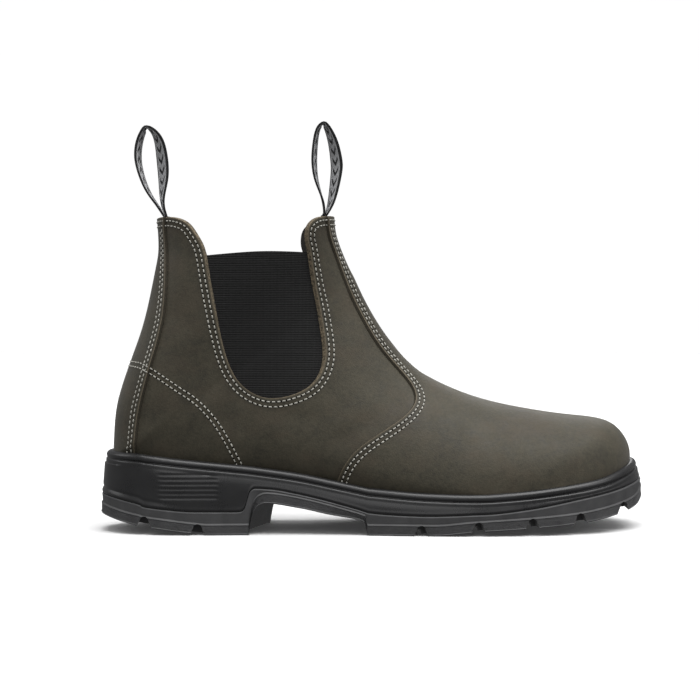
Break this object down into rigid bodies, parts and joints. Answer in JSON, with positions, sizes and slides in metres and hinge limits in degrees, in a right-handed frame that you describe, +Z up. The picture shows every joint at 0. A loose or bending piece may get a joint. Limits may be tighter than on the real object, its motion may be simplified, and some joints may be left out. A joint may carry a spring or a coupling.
{
  "type": "side gore work boot",
  "caption": "Right side gore work boot in dark leather, with elastic side panels, webbing pull loops and a lugged rubber sole.",
  "frame": {"origin": "on the flat front block of the heel's tread, on the heel's centre line, at floor level", "axes": "+X towards the toe, +Y towards the inner side of the right foot, +Z up"},
  "size_m": [0.3033, 0.113, 0.2251],
  "materials": {
    "leather": "oiled nubuck",
    "elastic": "ribbed weave",
    "webbing": "woven tape",
    "insole": "felt",
    "foam": "satin",
    "rubber": "matte"
  },
  "bodies": {
    "root": {"upper": "leather", "vamp": "leather", "back_stay": "leather", "gore_outer": "elastic", "gore_inner": "elastic", "pull_loop_rear": "webbing", "pull_loop_front": "webbing", "insole": "insole", "midsole": "foam", "outsole": "rubber"}
  },
  "joints": []
}
